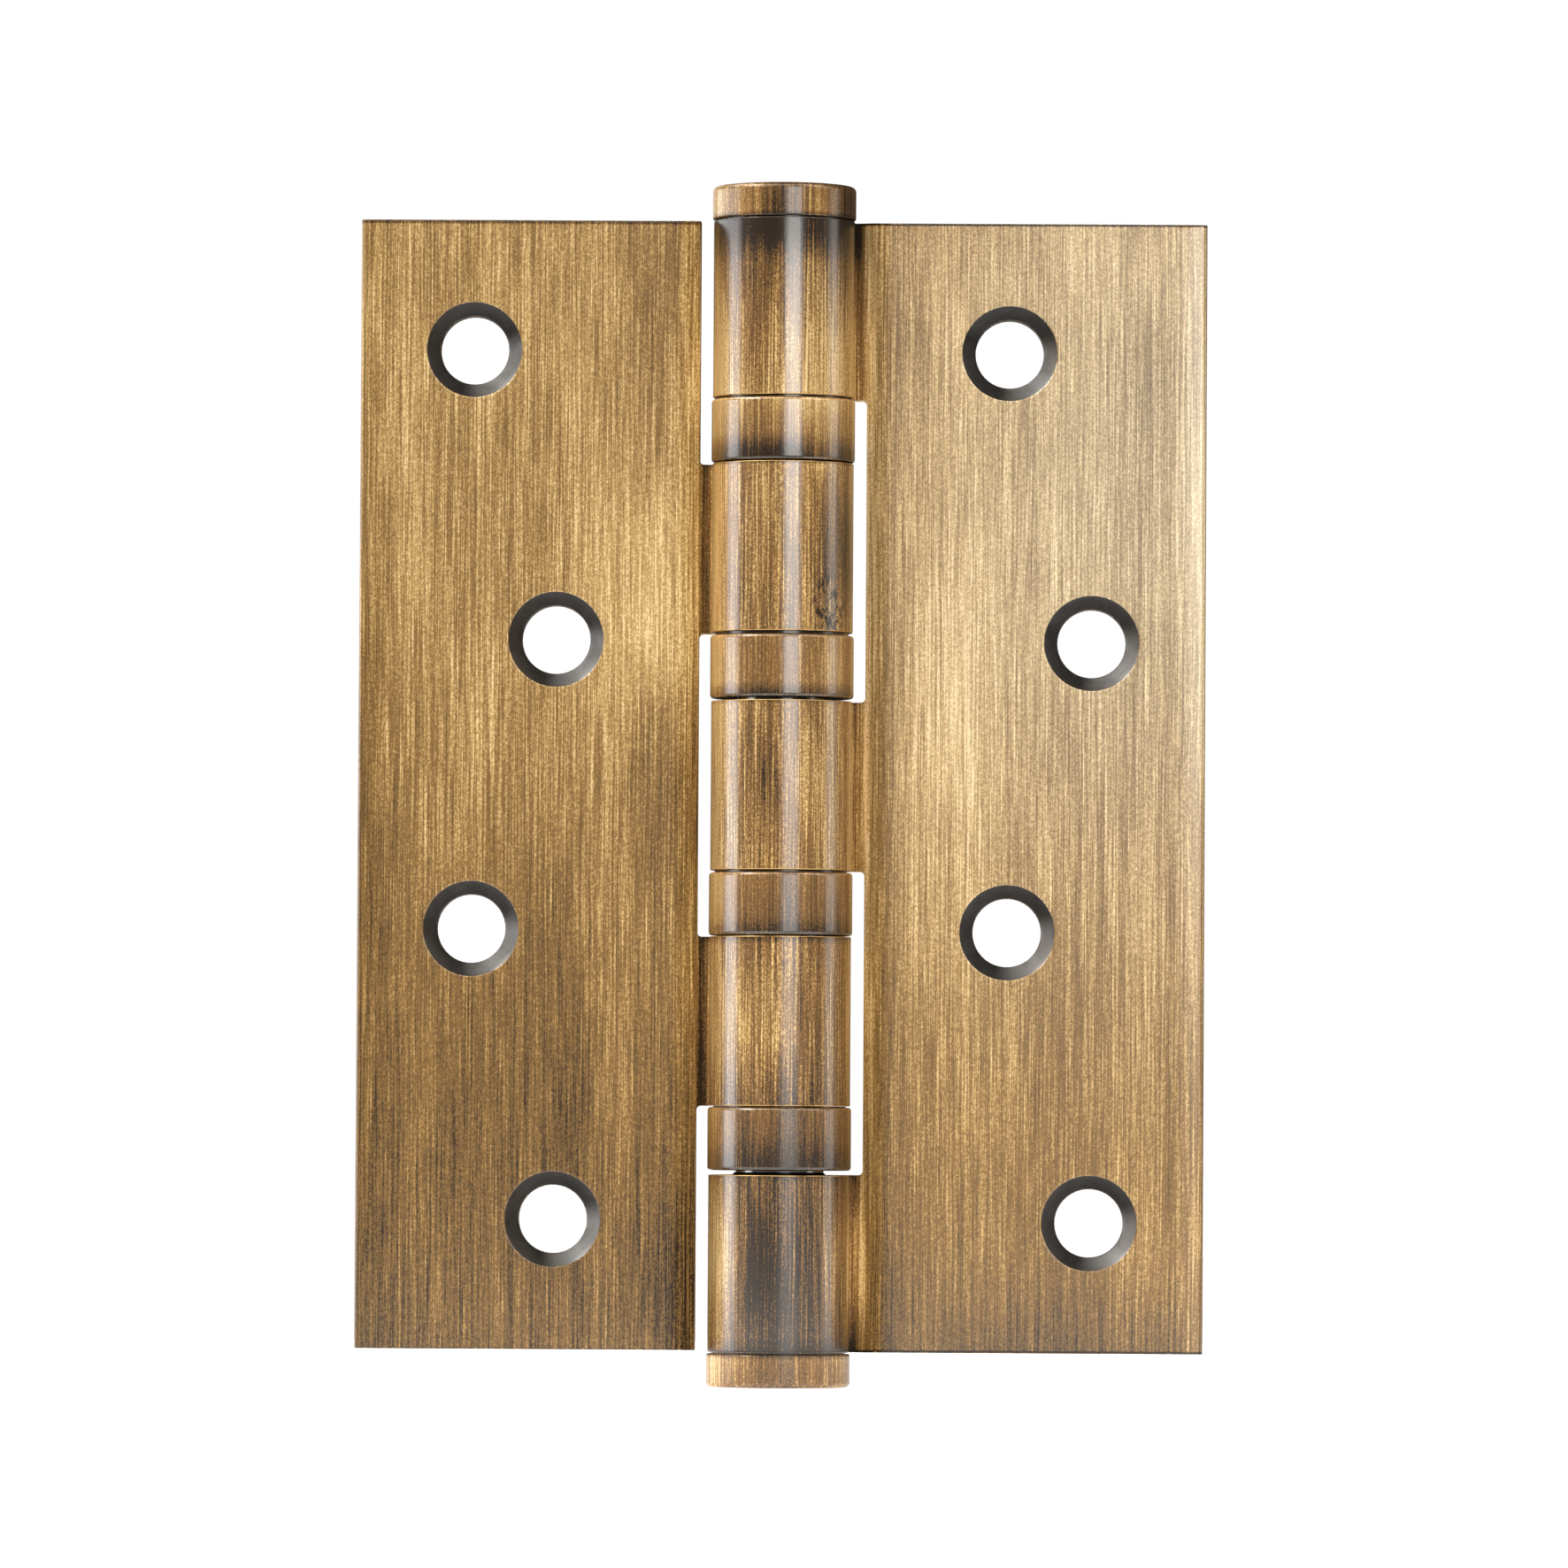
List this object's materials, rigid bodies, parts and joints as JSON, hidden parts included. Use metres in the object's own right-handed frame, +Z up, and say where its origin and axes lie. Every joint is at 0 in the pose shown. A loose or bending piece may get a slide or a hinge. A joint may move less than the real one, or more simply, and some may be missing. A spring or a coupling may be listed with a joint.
{
  "type": "ball-bearing butt door hinge",
  "caption": "Full-mortise butt door hinge in antique brass, with a knuckled barrel, ball-bearing collars, flat end caps and staggered countersunk screw holes.",
  "frame": {"origin": "on the pin axis, halfway up the leaves, which is the centre of the object's box", "axes": "+Z up along the pin, +X out over the frame leaf, +Y out of the leaves' backs, so that the countersunk front faces -Y"},
  "size_m": [0.0762, 0.013, 0.1078],
  "materials": {
    "frame_leaf_brass": "antique brushed, pale patina, vertical grain",
    "door_leaf_brass": "antique brushed, brown patina, vertical grain",
    "barrel_brass": "antique brushed, streaked patina, rubbed rims",
    "pin_steel": "ground and oiled",
    "race_steel": "hardened, dark oiled",
    "ball_steel": "polished"
  },
  "bodies": {
    "frame": {"frame_leaf": "frame_leaf_brass", "hinge_pin": "pin_steel", "top_cap": "barrel_brass", "bottom_cap": "barrel_brass", "bearing_1_collar": "barrel_brass", "bearing_1_upper_race": "race_steel", "bearing_2_lower_race": "race_steel", "bearing_3_collar": "barrel_brass", "bearing_3_upper_race": "race_steel", "bearing_4_lower_race": "race_steel"},
    "door": {"door_leaf": "door_leaf_brass", "bearing_1_lower_race": "race_steel", "bearing_2_collar": "barrel_brass", "bearing_2_upper_race": "race_steel", "bearing_3_lower_race": "race_steel", "bearing_4_collar": "barrel_brass", "bearing_4_upper_race": "race_steel"},
    "ball_ring_1": {"bearing_1_balls": "ball_steel"},
    "ball_ring_2": {"bearing_2_balls": "ball_steel"},
    "ball_ring_3": {"bearing_3_balls": "ball_steel"},
    "ball_ring_4": {"bearing_4_balls": "ball_steel"}
  },
  "joints": [
    {"name": "door_swing", "type": "hinge", "parent": "frame", "child": "door", "pos_m": [0, 0, 0], "axis": [0, 0, 1], "range_deg": [-115, 180]},
    {"name": "ball_orbit_1", "type": "hinge", "parent": "frame", "child": "ball_ring_1", "pos_m": [0, 0, 0], "axis": [0, 0, 1], "range_deg": [-57.5, 90]},
    {"name": "ball_orbit_2", "type": "hinge", "parent": "frame", "child": "ball_ring_2", "pos_m": [0, 0, 0], "axis": [0, 0, 1], "range_deg": [-57.5, 90]},
    {"name": "ball_orbit_3", "type": "hinge", "parent": "frame", "child": "ball_ring_3", "pos_m": [0, 0, 0], "axis": [0, 0, 1], "range_deg": [-57.5, 90]},
    {"name": "ball_orbit_4", "type": "hinge", "parent": "frame", "child": "ball_ring_4", "pos_m": [0, 0, 0], "axis": [0, 0, 1], "range_deg": [-57.5, 90]}
  ],
  "couplings": [
    {"joint": "ball_orbit_1", "follows": "door_swing", "ratio": 0.5},
    {"joint": "ball_orbit_2", "follows": "door_swing", "ratio": 0.5},
    {"joint": "ball_orbit_3", "follows": "door_swing", "ratio": 0.5},
    {"joint": "ball_orbit_4", "follows": "door_swing", "ratio": 0.5}
  ]
}
